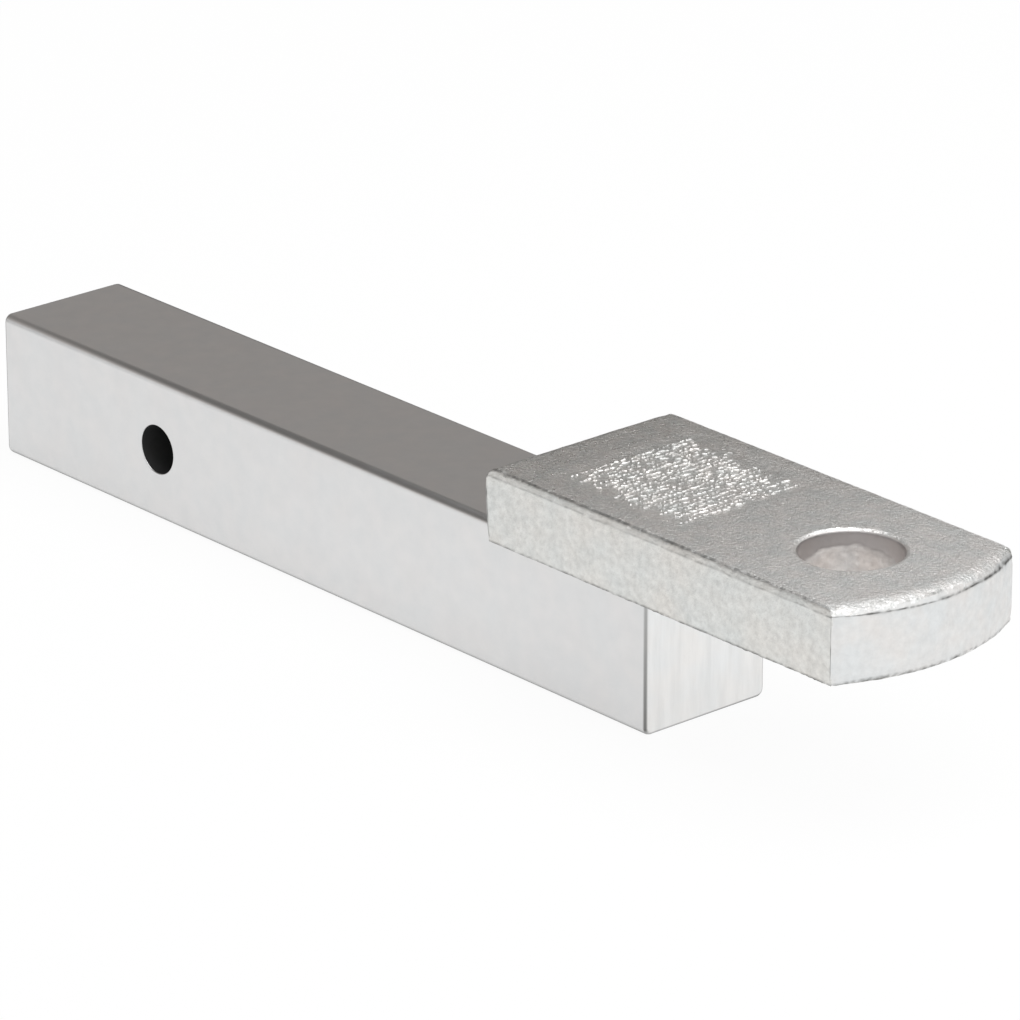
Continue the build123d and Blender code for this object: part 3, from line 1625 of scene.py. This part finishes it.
@dataclass
class Studio:
    """A white table under a large soft light, with a dim room behind it."""

    floor_z: float
    floor_half: float = 20.0
    light_size: float = 1.5
    light_height: float = 1.5
    light_power: float = 14.0
    behind: Place = (-0.753, 0.658, 0.0)
    overhead: Place = (0.62, 0.0, 0.78)
    overhead_edges: Span = (0.42, 0.78)
    overhead_color: Color = (1.15, 1.15, 1.15)
    room: Bands = (
        (0.0, (1.0, 1.0, 1.0)),
        (0.14, (1.0, 1.0, 1.0)),
        (0.30, (0.51, 0.478, 0.455)),
        (0.40, (0.405, 0.378, 0.361)),
        (0.50, (0.13, 0.125, 0.12)),
        (1.0, (0.09, 0.085, 0.08)),
    )
    dark_room: Bands = (
        (0.0, (0.1, 0.1, 0.1)),
        (0.18, (0.12, 0.115, 0.11)),
        (0.26, (0.51, 0.478, 0.455)),
        (0.40, (0.405, 0.378, 0.361)),
        (0.50, (0.13, 0.125, 0.12)),
        (1.0, (0.09, 0.085, 0.08)),
    )

    def build(self) -> None:
        """Sets up the floor, the room and the light."""
        self.floor()
        self.surroundings()
        self.softbox()

    def facing(
        self,
        board: NodeBoard,
        where: Socket,
        axis: Place,
        edges: Span,
    ) -> Socket:
        """Adds the share by which a place or direction lies towards an axis.

        Args:
            board: The tree to add to.
            where: The place or direction.
            axis: The axis.
            edges: The distances along the axis at which the share begins and is full.

        Returns:
            The share.
        """
        along = board.add("VectorMath", operation="DOT_PRODUCT")
        board.join(where, along.inputs[0])
        along.inputs[1].default_value = axis
        return board.spread(along.outputs["Value"], edges, (0, 1))

    def floor(self) -> None:
        """Lays the white floor, which keeps the object's shadow and isn't there from below."""
        clear_selection()
        bpy.ops.mesh.primitive_plane_add(
            size=2 * self.floor_half, location=(0, 0, self.floor_z)
        )
        floor = named_piece("floor")
        made = bpy.data.materials.new("white_floor")
        made.use_nodes = True
        board = NodeBoard(made.node_tree)
        paper = board.add("BsdfDiffuse")
        paper.inputs["Color"].default_value = (0.9, 0.9, 0.9, 1)
        glow = board.add("Emission")
        glow.inputs["Color"].default_value = (1, 1, 1, 1)
        glow.inputs["Strength"].default_value = 1.0
        seen = board.add("LightPath")
        mirrored = board.math(
            "MAXIMUM", seen.outputs["Is Glossy Ray"], seen.outputs["Is Transmission Ray"]
        )
        share = board.math("MULTIPLY", seen.outputs["Is Camera Ray"], 0.94)
        share = board.math("MAXIMUM", share, board.math("MULTIPLY", mirrored, 0.75))
        lit = board.add("MixShader")
        board.join(share, lit.inputs[0])
        board.join(paper.outputs[0], lit.inputs[1])
        board.join(glow.outputs[0], lit.inputs[2])
        place = board.add("TexCoord").outputs["Object"]
        far = self.facing(board, place, self.behind, (0.1, 0.6))
        shade = board.add("MixShader")
        gloom = board.add("BsdfDiffuse")
        gloom.inputs["Color"].default_value = (0.1, 0.1, 0.1, 1)
        board.join(board.math("MULTIPLY", far, mirrored), shade.inputs[0])
        board.join(lit.outputs[0], shade.inputs[1])
        board.join(gloom.outputs[0], shade.inputs[2])
        under = board.add("MixShader")
        clear = board.add("BsdfTransparent")
        side = board.add("NewGeometry")
        board.join(side.outputs["Backfacing"], under.inputs[0])
        board.join(shade.outputs[0], under.inputs[1])
        board.join(clear.outputs[0], under.inputs[2])
        output = board.add("OutputMaterial")
        board.join(under.outputs[0], output.inputs[0])
        floor.data.materials.append(made)
        floor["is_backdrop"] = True

    def ramp(
        self,
        board: NodeBoard,
        height: Socket,
        bands: Bands,
    ) -> Socket:
        """Adds a ramp of colours over the height of a direction.

        Args:
            board: The tree to add to.
            height: The sine of the direction's elevation.
            bands: The heights and their colours.

        Returns:
            The colour.
        """
        ramp = board.add("ValToRGB")
        board.join(height, ramp.inputs[0])
        stops = ramp.color_ramp.elements
        for index, (at, color) in enumerate(bands):
            stop = stops[index] if index < 2 else stops.new(at)
            stop.position = at
            stop.color = (*color, 1)
        return ramp.outputs[0]

    def surroundings(self) -> None:
        """Lights the room in bands by height: pale low down, dim at eye level, bright overhead.

        Behind the object it is dark low down, which draws the far edges as thin dark lines.
        """
        world = bpy.data.worlds.new("room")
        bpy.context.scene.world = world
        world.use_nodes = True
        board = NodeBoard(world.node_tree)
        where = board.add("TexCoord").outputs["Generated"]
        split = board.add("SeparateXYZ")
        board.join(where, split.inputs[0])
        height = split.outputs[2]
        front = self.ramp(board, height, self.room)
        back = self.ramp(board, height, self.dark_room)
        room = board.blend(self.facing(board, where, self.behind, (0.3, 0.7)), front, back)
        above = self.facing(board, where, self.overhead, self.overhead_edges)
        sky = board.add("Background")
        board.join(board.blend(above, room, self.overhead_color), sky.inputs["Color"])
        output = board.add("OutputWorld")
        board.join(sky.outputs[0], output.inputs[0])

    def softbox(self) -> None:
        """Hangs the large soft light over the nose."""
        lamp = bpy.data.lights.new("softbox", "AREA")
        lamp.shape = "SQUARE"
        lamp.size = self.light_size
        lamp.energy = self.light_power
        hung = bpy.data.objects.new("softbox", lamp)
        hung.location = (0.45, 0.15, self.floor_z + self.light_height)
        bpy.context.scene.collection.objects.link(hung)


@dataclass
class PhotoCamera:
    """The camera, at the photograph's viewing angle."""

    place: Place = (1.683356, -1.339290, 0.821136)
    azimuth: float = 48.854
    elevation: float = 21.57
    lens: float = 240.787

    def build(self) -> None:
        """Adds the camera and makes it the scene's own."""
        camera = bpy.data.cameras.new("camera")
        camera.sensor_width = 36.0
        camera.lens = self.lens
        camera.clip_start = 0.05
        camera.clip_end = 100.0
        held = bpy.data.objects.new("camera", camera)
        held.location = self.place
        held.rotation_euler = (
            math.radians(90 - self.elevation),
            0,
            math.radians(self.azimuth),
        )
        bpy.context.scene.collection.objects.link(held)
        bpy.context.scene.camera = held


def main() -> None:
    """Builds the object's pieces and the studio round them."""
    logging.basicConfig(level=logging.INFO, format="%(name)s: %(message)s")
    cad_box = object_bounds()
    scene = bpy.context.scene
    scene.view_settings.view_transform = "Standard"
    pieces = [ShankBar().build(), TonguePlate().build(), *Welds().build()]
    for piece in pieces:
        log.info("%s: %d faces", piece.name, len(piece.data.polygons))
    Studio(floor_z=cad_box[0].z).build()
    PhotoCamera().build()


if __name__ == "__main__":
    main()
